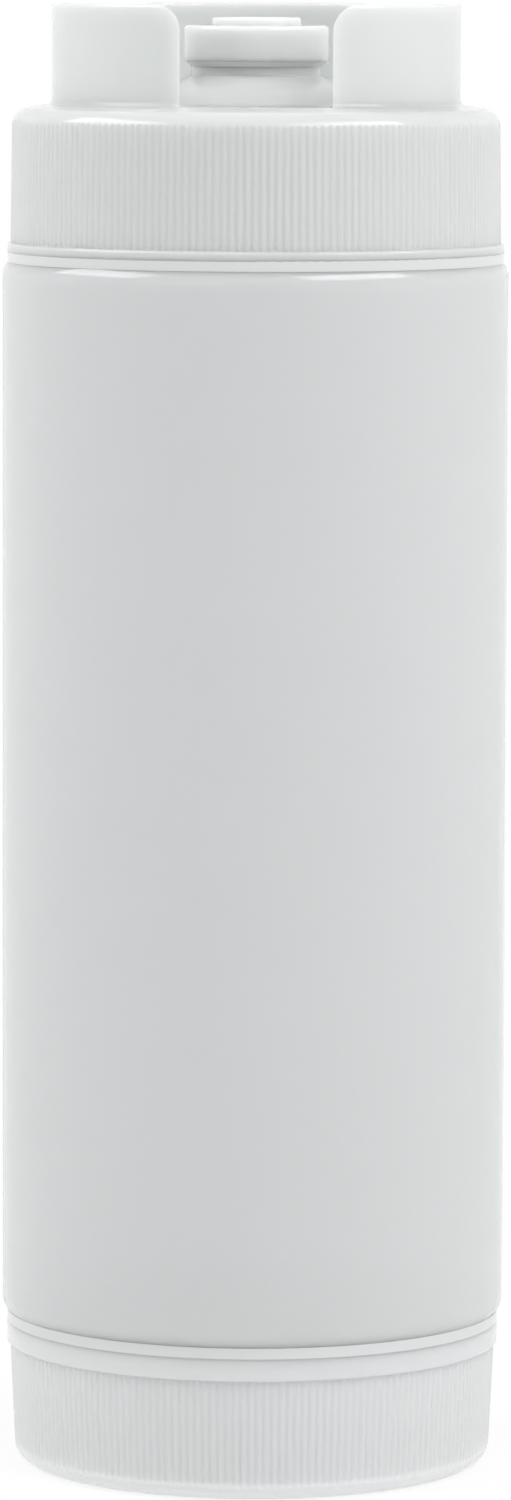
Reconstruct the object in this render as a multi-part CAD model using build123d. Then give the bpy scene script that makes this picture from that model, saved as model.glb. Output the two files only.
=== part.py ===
from build123d import *

import os
from math import cos, pi, radians, sin, sqrt, tan

# A double-ended squeeze bottle for sauces. A cylindrical body has a wide screw neck at
# each end. The lower neck carries the refill cap, on which the bottle stands. The upper
# neck carries the dispensing cap, with a short nozzle inside three curved stand walls,
# so that the bottle can also stand upside down on them.
# Millimetres, +Z up, origin in the middle of the refill cap's flat base. The front,
# towards -Y, faces a gap between two stand walls.

# Bottle body
total_height = 203.0
body_radius = 35.0
body_wall = 1.5
low_shoulder_z = 20.4
high_shoulder_z = 168.5
shoulder_rounding = 3.0
shoulder_wall = 1.8
neck_radius = 30.5
neck_bore = 28.4
neck_root_rounding = 1.2

# Both caps
skirt_bore = 31.7
skirt_radius_at_rim = 33.9
rim_gap = 0.12
bead_radius = 34.33
bead_rounding = 0.3
bead_root_rounding = 0.2
rib_count = 200
rib_depth = 0.18
rib_inset = 0.02

# Refill cap
refill_floor = 2.4
refill_bead_height = 3.4
skirt_radius_at_base = 33.1
base_rounding = 2.8

# Dispensing cap
deck_z = 189.2
deck_wall = 2.2
dispensing_bead_height = 1.5
skirt_radius_at_crown = 33.68
crown_radius = 28.3
crown_drop = 0.9
crown_rounding = 2.6
cone_slope = 25.0
cone_top_radius = 9.0
cone_top_z = 193.2
cone_root_rounding = 1.2
nozzle_ledge_z = 195.0
nozzle_ledge_rounding = 0.2
nozzle_top_z = 197.4
nozzle_radius = 8.0
nozzle_bore = 5.5

# Stand walls on the dispensing cap
wing_count = 3
wing_radius = 28.2
wing_thickness = 2.3
wing_gap_width = 20.6
wing_corner = 3.6
wing_top_rounding = 0.4
wing_root_width = 0.9
wing_root_rounding = 0.8

# Sealing rings
gasket_thickness = 1.5
gasket_inner = 28.0
gasket_outer = 31.2

# Valve
valve_flange_radius = 8.3
valve_flange_bore = 4.6
valve_head_radius = 3.8
valve_head_z = 200.2
valve_head_rounding = 0.4
valve_skin = 0.8
valve_dish = 0.7
slit_length = 5.0
slit_width = 0.12

# Collar that holds the valve
collar_bottom_z = 195.12
collar_top_z = 200.0
collar_radius = 10.0
collar_bore = 8.6
collar_roof = 1.1
collar_rounding = 0.6
boss_top_z = 201.1
boss_radius = 6.15
boss_root_rounding = 0.2
boss_rounding = 0.4
mouth_radius = 4.0
mouth_flare = 0.7

# Room that the cutters take beyond what they cut
cutter_margin = 1.0


def turned(*corners):
    """A solid of revolution about Z. A corner is (radius, height) or has its rounding as a third value."""
    points = [corner[:2] for corner in corners]
    roundings = [corner[2] if len(corner) == 3 else 0 for corner in corners]
    outline = FilletPolyline(*points, radius=roundings, close=True)
    return revolve(make_face(Plane.XZ * outline), Axis.Z)


def bottle_body():
    """The squeeze tube: a thin cylinder with a rounded shoulder and a wide open neck at each end."""
    low_end = refill_floor + gasket_thickness
    high_end = deck_z - deck_wall - gasket_thickness
    inner_radius = body_radius - body_wall
    low_inside = low_shoulder_z + shoulder_wall
    high_inside = high_shoulder_z - shoulder_wall
    inner_shoulder_rounding = shoulder_rounding - body_wall
    return turned(
        (neck_radius, low_end),
        (neck_radius, low_shoulder_z),
        (body_radius, low_shoulder_z, shoulder_rounding),
        (body_radius, high_shoulder_z, shoulder_rounding),
        (neck_radius, high_shoulder_z),
        (neck_radius, high_end),
        (neck_bore, high_end),
        (neck_bore, high_inside, neck_root_rounding),
        (inner_radius, high_inside, inner_shoulder_rounding),
        (inner_radius, low_inside, inner_shoulder_rounding),
        (neck_bore, low_inside, neck_root_rounding),
        (neck_bore, low_end),
    )


def sealing_ring(bottom_z):
    """A flat elastic ring that a cap presses on the end of a neck."""
    top_z = bottom_z + gasket_thickness
    return turned(
        (gasket_inner, bottom_z),
        (gasket_outer, bottom_z),
        (gasket_outer, top_z),
        (gasket_inner, top_z),
    )


def ribbed_outline(skirt_radius, z):
    """A closed line round a skirt at height z, with one ridge and one valley for each rib."""
    half_pitch = pi / rib_count
    ridge = skirt_radius - rib_inset
    valley = ridge - rib_depth
    corners = []
    for step in range(2 * rib_count):
        radius = valley if step % 2 else ridge
        corners.append((radius * cos(step * half_pitch), radius * sin(step * half_pitch), z))
    return Wire.make_polygon(corners, close=True)


def rib_cutter(low_radius, low_z, high_radius, high_z):
    """All that lies outside the ribs of a tapered skirt between two heights."""
    ribbed = Solid.make_loft([ribbed_outline(low_radius, low_z), ribbed_outline(high_radius, high_z)], ruled=True)
    height = high_z - low_z
    blank = Pos(0, 0, low_z + height / 2) * Cylinder(bead_radius + cutter_margin, height)
    return blank - ribbed


def refill_cap():
    """The foot of the bottle: a deep ribbed screw cap with a flat base and a smooth band at its rim."""
    rim = low_shoulder_z - rim_gap
    band_bottom = rim - refill_bead_height
    cup = turned(
        (0, 0),
        (skirt_radius_at_base, 0, base_rounding),
        (skirt_radius_at_rim, band_bottom),
        (bead_radius, band_bottom, bead_root_rounding),
        (bead_radius, rim, bead_rounding),
        (skirt_bore, rim),
        (skirt_bore, refill_floor),
        (0, refill_floor),
    )
    return cup - rib_cutter(skirt_radius_at_base, 0, skirt_radius_at_rim, band_bottom)


def cap_shell():
    """The dispensing cap without its stand walls: ribbed skirt, crown, cone and nozzle round one bore."""
    rim = high_shoulder_z + rim_gap
    bead_top = rim + dispensing_bead_height
    crown_edge_z = deck_z - crown_drop
    slope = tan(radians(cone_slope))
    cone_foot_radius = cone_top_radius + (cone_top_z - deck_z) / slope
    under_deck = deck_z - deck_wall
    bore_foot_z = under_deck + (cone_foot_radius - nozzle_bore) * slope
    shell = turned(
        (skirt_bore, rim),
        (bead_radius, rim, bead_rounding),
        (bead_radius, bead_top, bead_rounding),
        (skirt_radius_at_rim, bead_top),
        (skirt_radius_at_crown, crown_edge_z, crown_rounding),
        (crown_radius, deck_z),
        (cone_foot_radius, deck_z, cone_root_rounding),
        (cone_top_radius, cone_top_z),
        (cone_top_radius, nozzle_ledge_z, nozzle_ledge_rounding),
        (nozzle_radius, nozzle_ledge_z),
        (nozzle_radius, nozzle_top_z),
        (nozzle_bore, nozzle_top_z),
        (nozzle_bore, bore_foot_z),
        (cone_foot_radius, under_deck),
        (skirt_bore, under_deck),
    )
    return shell - rib_cutter(skirt_radius_at_rim, bead_top, skirt_radius_at_crown, crown_edge_z)


def stand_wall_ring():
    """The closed ring that the stand walls are cut from, with a flared root on the crown."""
    inner = wing_radius - wing_thickness
    crown_slope = crown_drop / (skirt_radius_at_crown - crown_radius)
    root_z = deck_z - crown_drop
    outer_root = wing_radius + wing_root_width
    return turned(
        (inner - wing_root_width, root_z),
        (inner - wing_root_width, deck_z),
        (inner, deck_z, wing_root_rounding),
        (inner, total_height, wing_top_rounding),
        (wing_radius, total_height, wing_top_rounding),
        (wing_radius, deck_z, wing_root_rounding),
        (outer_root, deck_z - crown_slope * (outer_root - crown_radius)),
        (outer_root, root_z),
    )


def stand_gap():
    """The cutter for the front gap between stand walls: a slot whose top flares out round two corners."""
    half = wing_gap_width / 2
    flared = half + wing_corner
    spring_z = total_height - wing_corner
    arc_middle = wing_corner * (1 - sqrt(0.5))
    foot_z = deck_z - crown_drop
    above = total_height + cutter_margin
    left_corner = ThreePointArc(
        (-flared, total_height), (-half - arc_middle, total_height - arc_middle), (-half, spring_z)
    )
    slot = Polyline((-half, spring_z), (-half, foot_z), (half, foot_z), (half, spring_z))
    right_corner = ThreePointArc(
        (half, spring_z), (half + arc_middle, total_height - arc_middle), (flared, total_height)
    )
    lid = Polyline((flared, total_height), (flared, above), (-flared, above), (-flared, total_height))
    return extrude(make_face(Plane.XZ * (left_corner + slot + right_corner + lid)), body_radius)


def stand_walls():
    """The curved walls that the bottle stands on upside down, evenly spaced round the nozzle."""
    walls = stand_wall_ring()
    for index in range(wing_count):
        walls -= Rot(0, 0, 360 / wing_count * index) * stand_gap()
    return walls


def dispensing_cap():
    """The whole moulded dispensing cap."""
    return cap_shell() + stand_walls()


def silicone_valve():
    """The soft valve: a clamped flange and a dished head with a cross slit."""
    flange_top = collar_top_z - collar_roof
    dish_z = valve_head_z - valve_dish
    inner = valve_head_radius - valve_skin
    body = turned(
        (valve_flange_bore, nozzle_top_z),
        (valve_flange_radius, nozzle_top_z),
        (valve_flange_radius, flange_top),
        (valve_head_radius, flange_top),
        (valve_head_radius, valve_head_z, valve_head_rounding),
        (inner, valve_head_z),
        (0, dish_z),
        (0, dish_z - valve_skin),
        (inner, valve_head_z - 2 * valve_skin),
        (inner, flange_top - valve_skin),
    )
    slit = Box(slit_length, slit_width, 4 * valve_skin)
    cross = slit + Rot(0, 0, 90) * slit
    return body - Pos(0, 0, dish_z) * cross


def valve_collar():
    """The screw collar that holds the valve, with a raised boss round its mouth."""
    under_roof = collar_top_z - collar_roof
    return turned(
        (collar_bore, collar_bottom_z),
        (collar_radius, collar_bottom_z),
        (collar_radius, collar_top_z, collar_rounding),
        (boss_radius, collar_top_z, boss_root_rounding),
        (boss_radius, boss_top_z, boss_rounding),
        (mouth_radius + mouth_flare, boss_top_z),
        (mouth_radius, under_roof),
        (collar_bore, under_roof),
    )


pieces = {
    "bottle_body": bottle_body(),
    "refill_cap": refill_cap(),
    "refill_cap_gasket": sealing_ring(refill_floor),
    "dispensing_cap": dispensing_cap(),
    "dispensing_cap_gasket": sealing_ring(deck_z - deck_wall - gasket_thickness),
    "silicone_valve": silicone_valve(),
    "valve_collar": valve_collar(),
}

os.makedirs("parts", exist_ok=True)
for name, shape in pieces.items():
    export_step(shape, f"parts/{name}.step")
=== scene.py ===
from math import cos, pi, radians, sin

import bpy
from mathutils import Matrix, Vector

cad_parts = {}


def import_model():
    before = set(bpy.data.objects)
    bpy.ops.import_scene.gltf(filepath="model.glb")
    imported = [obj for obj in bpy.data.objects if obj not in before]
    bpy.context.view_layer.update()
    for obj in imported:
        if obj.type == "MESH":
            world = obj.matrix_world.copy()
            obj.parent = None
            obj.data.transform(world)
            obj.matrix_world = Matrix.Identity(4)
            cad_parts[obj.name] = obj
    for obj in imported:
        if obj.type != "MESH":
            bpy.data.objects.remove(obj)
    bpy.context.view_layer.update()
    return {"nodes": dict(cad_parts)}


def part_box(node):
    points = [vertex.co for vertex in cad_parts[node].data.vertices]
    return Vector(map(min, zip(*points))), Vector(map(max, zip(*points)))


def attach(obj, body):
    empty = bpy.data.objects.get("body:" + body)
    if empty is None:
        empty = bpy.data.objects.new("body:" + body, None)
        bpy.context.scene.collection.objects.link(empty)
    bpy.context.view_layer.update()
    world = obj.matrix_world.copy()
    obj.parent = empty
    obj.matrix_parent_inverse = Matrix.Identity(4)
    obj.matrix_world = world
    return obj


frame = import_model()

# Lengths are in metres, +Z is up, and the camera stands towards -Y.

# Camera, fitted to the outline in the photograph: an image of 511 by 1500 pixels
IMAGE_HEIGHT = 1500
FOCAL_PIXELS = 7695.0
SENSOR_MM = 36.0
CAMERA_DISTANCE = 1.0648
CAMERA_HEIGHT = 0.2095
CAMERA_SIDE = 0.0002
CAMERA_PITCH = radians(5.891)
CAMERA_ROLL = radians(0.2)
NEAREST_SEEN = 0.05
FURTHEST_SEEN = 50.0

# Screw threads. A turn lifts a cap by its lead, as the joints do. A thread rises over
# THREAD_FLANK of half its width, narrows to THREAD_TIP_WIDTH of it at both ends, and its
# foot lies THREAD_SUNK inside the wall.
NECK_THREAD = {"lead": 0.00425, "turns": 1.6, "height": 0.0008, "width": 0.0021}
NECK_RADIUS = 0.0305
NECK_THREAD_INSET = 0.0022
SKIRT_BORE = 0.0317
NOZZLE_THREAD = {"lead": 0.0025, "turns": 0.45, "height": 0.0004, "width": 0.001}
NOZZLE_RADIUS = 0.008
NOZZLE_THREAD_INSET = 0.0005
COLLAR_BORE = 0.0086
THREAD_STEPS_PER_TURN = 120
THREAD_STEPS_ACROSS = 8
THREAD_RUN_OUT_TURNS = 0.11
THREAD_FLANK = 0.6
THREAD_TIP_WIDTH = 0.4
THREAD_SUNK = 0.00015

# Lips that close the caps' rims, shaped to the body's rounded shoulders
RIM_GAP = 0.00012
LIP_GAP = 0.00002
LIP_SUNK = 0.0003
LIP_INNER = 0.0319
REFILL_LIP_RADIUS = 0.03434
DISPENSING_LIP_RADIUS = 0.0343
LIP_STEPS = 8
SHOULDER_ROUNDING = 0.003

# Seat that closes the joint under the collar
SEAT_GAP = 0.00001
SEAT_HEIGHT = 0.0007
SEAT_INNER = 0.0087
SEAT_FOOT = 0.00902
SEAT_OUTER = 0.0099

# Rings, and the angle between two faces from which their edge shades as sharp
RING_STEPS = 360
SHARP_EDGE = radians(30)

# Linear colours, pale and dark, that each finish drifts between
BODY_COLOURS = ((0.79, 0.81, 0.82), (0.775, 0.80, 0.807))
CAP_COLOURS = ((0.69, 0.703, 0.705), (0.675, 0.693, 0.687))
# The refill cap's colours are painted paler than the dispensing cap's: painted light that offsets the shade
# at the bottle's foot.
REFILL_COLOURS_PAINTED_PALER = ((0.755, 0.767, 0.776), (0.74, 0.756, 0.758))
# The rims' colours are painted darker than the cap plastic: painted shade, so that the lips and the collar
# seat render no lighter than the milky plastic beside them.
RIM_COLOURS_PAINTED_DARKER = ((0.615, 0.625, 0.63), (0.6, 0.615, 0.615))
# The collar's colours are painted paler than the cap plastic: painted light that offsets the shade on it.
COLLAR_COLOURS_PAINTED_PALER = ((0.85, 0.86, 0.86), (0.83, 0.845, 0.84))
SEAL_COLOURS = ((0.82, 0.82, 0.8), (0.8, 0.8, 0.78))

# Roughness, the share of light that passes straight through, and how far the rest wanders inside
GLOSS = 0.1
SEAL_ROUGHNESS = 0.55
ROUGHNESS_SPREAD = 0.08
BODY_CLEAR = 0.25
CAP_CLEAR = 0.15
BODY_DEPTH = 0.005
CAP_DEPTH = 0.0035
SEAL_DEPTH = 0.001
PLASTIC_IOR = 1.5

# Radii by which edges shade as rounded
EDGE = 0.0001
CAP_EDGE = 0.0005
RIM_EDGE = 0.00002
EDGE_SAMPLES = 6

# Unevenness: noise by its cycles per metre and detail, the span of its values that
# is used, and its stretch along each axis
CLOUD_NOISE = (22, 2.0)
CLOUD_SPAN = (0.35, 0.65)
CLOUD_STRETCH = (1, 1, 0.35)
GLOSS_NOISE = (140, 3.0)
GLOSS_SPAN = (0.3, 0.7)
RELIEF_NOISE = (300, 2.0)
RELIEF_HEIGHT = 0.00001
EVEN = (1, 1, 1)
UPRIGHT = (1, 1, 0.12)

# Light
WHITE = (1, 1, 1, 1)
WHITE_RAYS = ("Is Camera Ray", "Is Glossy Ray")
SKY_LEFT = 0.7
SKY_RIGHT = 0.73
SKY_TOP = 1.1
BOUNCES = 24

# Softboxes, each with its azimuth and elevation in degrees and its power in watts
LAMP_TARGET = Vector((0, 0, 0.15))
LAMP_DISTANCE = 1.1
LAMP_SIZE = (0.9, 0.45)
LEFT_SOFTBOX = (-86, 40, 5.61)
RIGHT_SOFTBOX = (54, 42, 6.6)

# Floor
FLOOR_HALF = 6.0
FLOOR_COLOUR = (0.9, 0.9, 0.9, 1)
FLOOR_GLOW = 0.8
SHADOW_INNER = 0.05
SHADOW_OUTER = 0.3
SHADOW_WHITE = 0.75


def material(name):
    """An empty material with an output, ready for its nodes."""
    mat = bpy.data.materials.new(name)
    mat.use_nodes = True
    mat.node_tree.nodes.clear()
    return mat


class Nodes:
    """Short calls for adding and joining shader nodes."""

    def __init__(self, tree, output="ShaderNodeOutputMaterial"):
        self.tree = tree
        self.out = self.add(output)

    def add(self, kind, **settings):
        """A new node of this kind, with these settings."""
        node = self.tree.nodes.new(kind)
        for key, value in settings.items():
            setattr(node, key, value)
        return node

    def link(self, source, target):
        """Joins an output socket to an input socket."""
        self.tree.links.new(source, target)

    def maths(self, operation, first, second):
        """A sum, product or the like of a socket with a socket or number."""
        node = self.add("ShaderNodeMath", operation=operation)
        self.link(first, node.inputs[0])
        if isinstance(second, float):
            node.inputs[1].default_value = second
        else:
            self.link(second, node.inputs[1])
        return node.outputs[0]

    def span(self, source, start, end, low, high):
        """A number that runs from low to high as source runs from start to end."""
        spread = self.add("ShaderNodeMapRange")
        for socket, value in (("From Min", start), ("From Max", end), ("To Min", low), ("To Max", high)):
            spread.inputs[socket].default_value = value
        self.link(source, spread.inputs["Value"])
        return spread.outputs["Result"]

    def noise(self, pattern, stretch):
        """Noise on the object's own coordinates, in cycles per metre times stretch."""
        scale, detail = pattern
        place = self.add("ShaderNodeTexCoord")
        shape = self.add("ShaderNodeMapping")
        shape.inputs["Scale"].default_value = stretch
        field = self.add("ShaderNodeTexNoise")
        field.inputs["Scale"].default_value = scale
        field.inputs["Detail"].default_value = detail
        self.link(place.outputs["Object"], shape.inputs["Vector"])
        self.link(shape.outputs["Vector"], field.inputs["Vector"])
        return field.outputs["Fac"]

    def ramp(self, source, start, end, low, high):
        """A colour that runs from low to high as source runs from start to end."""
        ramp = self.add("ShaderNodeValToRGB")
        ramp.color_ramp.elements[0].position = start
        ramp.color_ramp.elements[0].color = (*low, 1)
        ramp.color_ramp.elements[1].position = end
        ramp.color_ramp.elements[1].color = (*high, 1)
        self.link(source, ramp.inputs["Fac"])
        return ramp.outputs["Color"]

    def bump(self, source, height, edge):
        """Soft relief over edges that shade as if rounded by the radius edge."""
        bevel = self.add("ShaderNodeBevel", samples=EDGE_SAMPLES)
        bevel.inputs["Radius"].default_value = edge
        bump = self.add("ShaderNodeBump")
        bump.inputs["Distance"].default_value = height
        self.link(source, bump.inputs["Height"])
        self.link(bevel.outputs["Normal"], bump.inputs["Normal"])
        return bump.outputs["Normal"]


def milky_plastic(name, colours, roughness, clear, depth, edge, grain=EVEN):
    """Milky plastic or rubber: the share clear of the light passes straight through, and the rest
    wanders about depth far inside. A depth of 0 lets none in.

    Cloudy patches come from uneven wall thickness, and the soft relief from the mould's surface.
    """
    pale, dark = colours
    smoother = roughness * (1 - ROUGHNESS_SPREAD)
    rougher = roughness * (1 + ROUGHNESS_SPREAD)
    mat = material(name)
    nodes = Nodes(mat.node_tree)
    plastic = nodes.add("ShaderNodeBsdfPrincipled")
    clouds = nodes.ramp(nodes.noise(CLOUD_NOISE, CLOUD_STRETCH), *CLOUD_SPAN, dark, pale)
    nodes.link(clouds, plastic.inputs["Base Color"])
    gloss = nodes.span(nodes.noise(GLOSS_NOISE, grain), *GLOSS_SPAN, smoother, rougher)
    nodes.link(gloss, plastic.inputs["Roughness"])
    relief = nodes.bump(nodes.noise(RELIEF_NOISE, grain), RELIEF_HEIGHT, edge)
    nodes.link(relief, plastic.inputs["Normal"])
    plastic.inputs["IOR"].default_value = PLASTIC_IOR
    plastic.inputs["Transmission Weight"].default_value = clear
    plastic.inputs["Subsurface Weight"].default_value = 1.0 if depth else 0.0
    plastic.inputs["Subsurface Radius"].default_value = (1.0, 1.0, 1.0)
    plastic.inputs["Subsurface Scale"].default_value = depth
    nodes.link(plastic.outputs["BSDF"], nodes.out.inputs["Surface"])
    return mat


BODY_PLASTIC = milky_plastic("body_plastic", BODY_COLOURS, GLOSS, BODY_CLEAR, BODY_DEPTH, EDGE, UPRIGHT)
CAP_PLASTIC = milky_plastic("cap_plastic", CAP_COLOURS, GLOSS, CAP_CLEAR, CAP_DEPTH, CAP_EDGE)
# The refill cap carries painted light: the same cap plastic, painted paler.
REFILL_PLASTIC_PAINTED_PALER = milky_plastic("refill_plastic_painted_paler", REFILL_COLOURS_PAINTED_PALER, GLOSS, CAP_CLEAR, CAP_DEPTH, CAP_EDGE)
# The collar carries painted light: cap plastic painted paler.
COLLAR_PLASTIC_PAINTED_PALER = milky_plastic("collar_plastic", COLLAR_COLOURS_PAINTED_PALER, GLOSS, CAP_CLEAR, CAP_DEPTH, EDGE)
VALVE_SILICONE = milky_plastic("valve_silicone", BODY_COLOURS, GLOSS, BODY_CLEAR, BODY_DEPTH, EDGE)
SEAL_RUBBER = milky_plastic("seal_rubber", SEAL_COLOURS, SEAL_ROUGHNESS, 0.0, SEAL_DEPTH, EDGE)

# No light enters the rims' rings, because it would be lost on the faces sunk in the caps
# Their colour is painted darker than the cap plastic, as painted shade.
RIM_PLASTIC_PAINTED_DARKER = milky_plastic("rim_plastic_painted_darker", RIM_COLOURS_PAINTED_DARKER, GLOSS, 0.0, 0.0, RIM_EDGE)


def dress(node, mat):
    """Gives a CAD node's object one material."""
    obj = frame["nodes"][node]
    obj.data.materials.clear()
    obj.data.materials.append(mat)


dress("bottle_body", BODY_PLASTIC)
dress("refill_cap", REFILL_PLASTIC_PAINTED_PALER)
dress("dispensing_cap", CAP_PLASTIC)
dress("valve_collar", COLLAR_PLASTIC_PAINTED_PALER)
dress("refill_cap_gasket", SEAL_RUBBER)
dress("dispensing_cap_gasket", SEAL_RUBBER)
dress("silicone_valve", VALVE_SILICONE)


def add_object(name, vertices, faces, mat):
    """A new object in the scene, of one mesh and one material."""
    mesh = bpy.data.meshes.new(name)
    mesh.from_pydata(vertices, [], faces)
    mesh.materials.append(mat)
    obj = bpy.data.objects.new(name, mesh)
    bpy.context.collection.objects.link(obj)
    return obj


def smoothstep(x):
    """0 up to x = 0 and 1 from x = 1 on, with a soft rise between them."""
    x = min(max(x, 0.0), 1.0)
    return x * x * (3 - 2 * x)


def thread_profile(width):
    """Points across a thread: each has its place along the axis and its share of the height."""
    points = []
    for index in range(THREAD_STEPS_ACROSS + 1):
        across = 2 * index / THREAD_STEPS_ACROSS - 1
        points.append((across * width / 2, smoothstep((1 - abs(across)) / THREAD_FLANK)))
    return points


def thread(name, body, mat, form, root_radius, start_z, start_angle, outward):
    """One start of a right-hand screw thread: a rounded rib on a helix that runs out at both ends.

    It stands on a wall of root_radius, outwards on a neck or inwards in a cap's bore.
    """
    side = 1 if outward else -1
    profile = thread_profile(form["width"])
    count = int(THREAD_STEPS_PER_TURN * form["turns"])
    run_out = int(THREAD_STEPS_PER_TURN * THREAD_RUN_OUT_TURNS)
    vertices = []
    for step in range(count + 1):
        share = smoothstep(min(step, count - step) / run_out)
        angle = start_angle + 2 * pi * step / THREAD_STEPS_PER_TURN
        z = start_z + form["lead"] * step / THREAD_STEPS_PER_TURN
        stretch = THREAD_TIP_WIDTH + (1 - THREAD_TIP_WIDTH) * share
        for across, rise in profile:
            sunk = (1 - rise) * THREAD_SUNK + (1 - share) * THREAD_SUNK
            radius = root_radius + side * (rise * form["height"] * share - sunk)
            vertices.append((radius * cos(angle), radius * sin(angle), z + across * stretch))
    size = len(profile)
    faces = []
    for step in range(count):
        for index in range(size - 1):
            a = step * size + index
            corners = (a, a + 1, a + size + 1, a + size)
            faces.append(corners[::-1] if outward else corners)
    obj = add_object(name, vertices, faces, mat)
    obj.data.shade_smooth()
    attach(obj, body)


def neck_threads():
    """Screw threads on both necks, and in both caps the ones that turn between them."""
    low_end, high_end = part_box("bottle_body")
    low_z = low_end.z + NECK_THREAD_INSET
    high_z = high_end.z - NECK_THREAD_INSET - NECK_THREAD["lead"] * NECK_THREAD["turns"]
    for name, z in (("upper_neck_thread", high_z), ("lower_neck_thread", low_z)):
        thread(name, "bottle", BODY_PLASTIC, NECK_THREAD, NECK_RADIUS, z, 0.0, outward=True)
    for name, body, z in (
        ("dispensing_cap_thread", "dispensing_closure", high_z),
        ("refill_cap_thread", "refill_closure", low_z),
    ):
        thread(name, body, CAP_PLASTIC, NECK_THREAD, SKIRT_BORE, z, pi, outward=False)


def nozzle_threads():
    """The screw thread on the nozzle, and the collar's that turns on it."""
    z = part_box("valve_collar")[0].z + NOZZLE_THREAD_INSET
    for name, body, slot, mat, radius, angle, outward in (
        ("nozzle_thread", "dispensing_closure", "cap_plastic", CAP_PLASTIC, NOZZLE_RADIUS, 0.0, True),
        ("collar_thread", "collar", "collar_plastic", COLLAR_PLASTIC_PAINTED_PALER, COLLAR_BORE, pi, False),
    ):
        thread(name, body, mat, NOZZLE_THREAD, radius, z, angle, outward)


def ring(name, profile, body):
    """A ring turned about Z from a closed outline of (radius, height) points, anticlockwise in X and Z."""
    vertices = []
    for step in range(RING_STEPS):
        angle = 2 * pi * step / RING_STEPS
        for radius, z in profile:
            vertices.append((radius * cos(angle), radius * sin(angle), z))
    size = len(profile)
    faces = []
    for step in range(RING_STEPS):
        a = step * size
        b = (step + 1) % RING_STEPS * size
        for index in range(size):
            after = (index + 1) % size
            faces.append((a + index, b + index, b + after, a + after))
    obj = add_object(name, vertices, faces, RIM_PLASTIC_PAINTED_DARKER)
    obj.data.shade_smooth()
    obj.data.set_sharp_from_angle(angle=SHARP_EDGE)
    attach(obj, body)


def lip(name, body, bead_z, lip_radius, shoulder_z, up):
    """The edge of a cap's rim, which follows the body's rounded shoulder a hair's breadth away.

    up is 1 where the shoulder lies above the cap and -1 where it lies below.
    """
    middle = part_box("bottle_body")[1].x - SHOULDER_ROUNDING
    profile = [(LIP_INNER, bead_z), (lip_radius, bead_z)]
    for index in range(LIP_STEPS + 1):
        radius = lip_radius + (middle - lip_radius) * index / LIP_STEPS
        square = (SHOULDER_ROUNDING + LIP_GAP) ** 2 - (radius - middle) ** 2
        profile.append((radius, shoulder_z + up * (SHOULDER_ROUNDING - square ** 0.5)))
    profile.append((LIP_INNER, profile[-1][1]))
    ring(name, profile[::up], body)


def lips():
    """One lip on each cap's rim, over the round edge of its bead."""
    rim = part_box("refill_cap")[1].z
    lip("refill_cap_lip", "refill_closure", rim - LIP_SUNK, REFILL_LIP_RADIUS, rim + RIM_GAP, 1)
    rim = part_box("dispensing_cap")[0].z
    lip("dispensing_cap_lip", "dispensing_closure", rim + LIP_SUNK, DISPENSING_LIP_RADIUS, rim - RIM_GAP, -1)


def collar_seat():
    """The flared seat on the cone's top, just under the collar."""
    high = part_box("valve_collar")[0].z - SEAT_GAP
    low = high - SEAT_HEIGHT
    seat = [(SEAT_INNER, low), (SEAT_FOOT, low), (SEAT_OUTER, high), (SEAT_INNER, high)]
    ring("collar_seat", seat, "dispensing_closure")


def white_for_rays(nodes, share):
    """How much of a surface is plain white: share, a socket or number, for WHITE_RAYS, and else nothing."""
    rays = nodes.add("ShaderNodeLightPath")
    seen = rays.outputs[WHITE_RAYS[0]]
    for kind in WHITE_RAYS[1:]:
        seen = nodes.maths("MAXIMUM", seen, rays.outputs[kind])
    return nodes.maths("MULTIPLY", seen, share)


def floor():
    """A wide pale floor that keeps a faint shadow under the bottle and is plain white further away.

    Part of it glows, so that light also reaches the bottle from below.
    """
    mat = material("floor_paper")
    nodes = Nodes(mat.node_tree)
    place = nodes.add("ShaderNodeTexCoord")
    length = nodes.add("ShaderNodeVectorMath", operation="LENGTH")
    nodes.link(place.outputs["Object"], length.inputs[0])
    share = nodes.span(length.outputs["Value"], SHADOW_INNER, SHADOW_OUTER, SHADOW_WHITE, 1.0)
    share = nodes.maths("MAXIMUM", white_for_rays(nodes, share), FLOOR_GLOW)
    paper = nodes.add("ShaderNodeBsdfDiffuse")
    paper.inputs["Color"].default_value = FLOOR_COLOUR
    white = nodes.add("ShaderNodeEmission")
    mix = nodes.add("ShaderNodeMixShader")
    nodes.link(share, mix.inputs["Fac"])
    nodes.link(paper.outputs[0], mix.inputs[1])
    nodes.link(white.outputs[0], mix.inputs[2])
    nodes.link(mix.outputs[0], nodes.out.inputs["Surface"])
    half = FLOOR_HALF
    corners = [(-half, -half, 0), (half, -half, 0), (half, half, 0), (-half, half, 0)]
    obj = add_object("floor", corners, [(0, 1, 2, 3)], mat)


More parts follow.
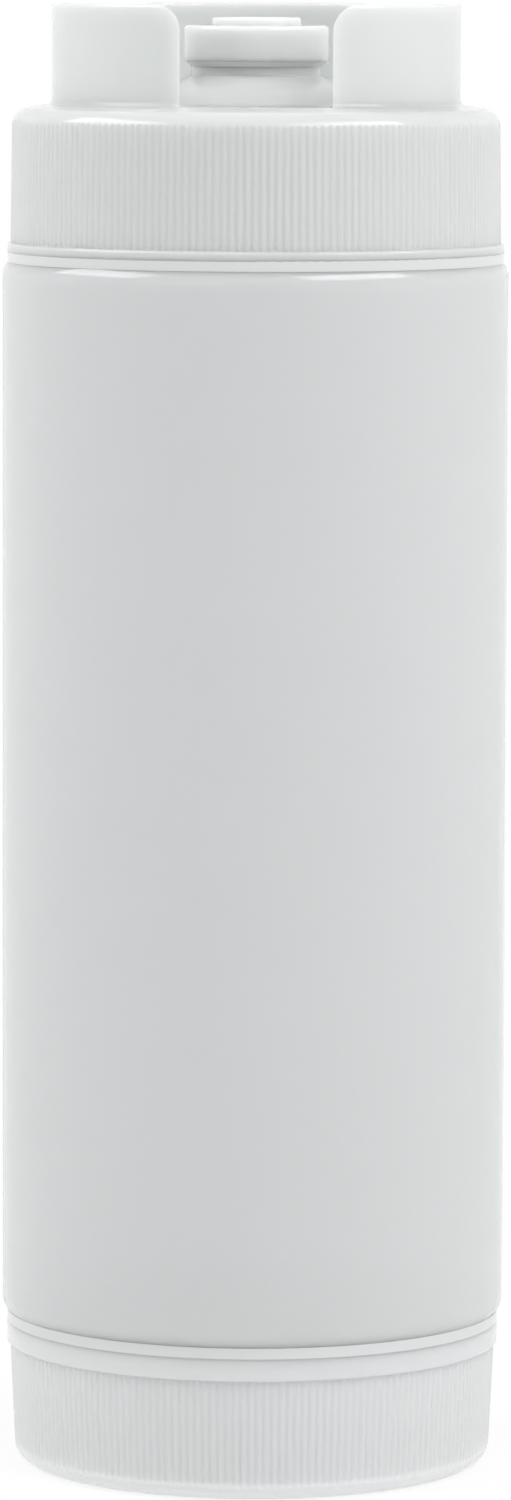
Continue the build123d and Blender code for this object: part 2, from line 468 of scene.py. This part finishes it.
def world():
    """Even soft daylight, a little stronger from the right, white to the camera and in reflections."""
    backdrop = bpy.data.worlds.new("studio")
    bpy.context.scene.world = backdrop
    backdrop.use_nodes = True
    backdrop.node_tree.nodes.clear()
    nodes = Nodes(backdrop.node_tree, "ShaderNodeOutputWorld")
    place = nodes.add("ShaderNodeTexCoord")
    parts = nodes.add("ShaderNodeSeparateXYZ")
    nodes.link(place.outputs["Generated"], parts.inputs[0])
    soft = nodes.add("ShaderNodeBackground")
    soft.inputs["Color"].default_value = WHITE
    side = nodes.span(parts.outputs["X"], -1.0, 1.0, SKY_LEFT, SKY_RIGHT)
    height = nodes.span(parts.outputs["Z"], 0.0, 1.0, 1.0, SKY_TOP)
    nodes.link(nodes.maths("MULTIPLY", side, height), soft.inputs["Strength"])
    white = nodes.add("ShaderNodeBackground")
    white.inputs["Color"].default_value = WHITE
    mix = nodes.add("ShaderNodeMixShader")
    nodes.link(white_for_rays(nodes, 1.0), mix.inputs["Fac"])
    nodes.link(soft.outputs[0], mix.inputs[1])
    nodes.link(white.outputs[0], mix.inputs[2])
    nodes.link(mix.outputs[0], nodes.out.inputs["Surface"])


def softbox(name, azimuth, elevation, power):
    """A rectangular lamp towards the top of the bottle. Azimuth 0 is the camera's side."""
    turn = radians(azimuth)
    rise = radians(elevation)
    away = Vector((sin(turn) * cos(rise), -cos(turn) * cos(rise), sin(rise)))
    lamp = bpy.data.lights.new(name, "AREA")
    lamp.shape = "RECTANGLE"
    lamp.size, lamp.size_y = LAMP_SIZE
    lamp.energy = power
    obj = bpy.data.objects.new(name, lamp)
    bpy.context.collection.objects.link(obj)
    obj.location = LAMP_TARGET + away * LAMP_DISTANCE
    obj.rotation_euler = away.to_track_quat("Z", "Y").to_euler()


def camera():
    """The photograph's own view, slightly from above."""
    data = bpy.data.cameras.new("camera")
    data.sensor_width = SENSOR_MM
    data.lens = SENSOR_MM * FOCAL_PIXELS / IMAGE_HEIGHT
    data.clip_start = NEAREST_SEEN
    data.clip_end = FURTHEST_SEEN
    obj = bpy.data.objects.new("camera", data)
    bpy.context.collection.objects.link(obj)
    place = Matrix.Translation((CAMERA_SIDE, -CAMERA_DISTANCE, CAMERA_HEIGHT))
    tilt = Matrix.Rotation(pi / 2 - CAMERA_PITCH, 4, "X")
    roll = Matrix.Rotation(CAMERA_ROLL, 4, "Z")
    obj.matrix_world = place @ tilt @ roll
    bpy.context.scene.camera = obj


neck_threads()
nozzle_threads()
lips()
collar_seat()
floor()
world()
softbox("left_softbox", *LEFT_SOFTBOX)
softbox("right_softbox", *RIGHT_SOFTBOX)
camera()

bpy.context.scene.view_settings.view_transform = "Standard"
bpy.context.scene.cycles.max_bounces = BOUNCES
bpy.context.scene.cycles.diffuse_bounces = BOUNCES
bpy.context.scene.cycles.transmission_bounces = BOUNCES
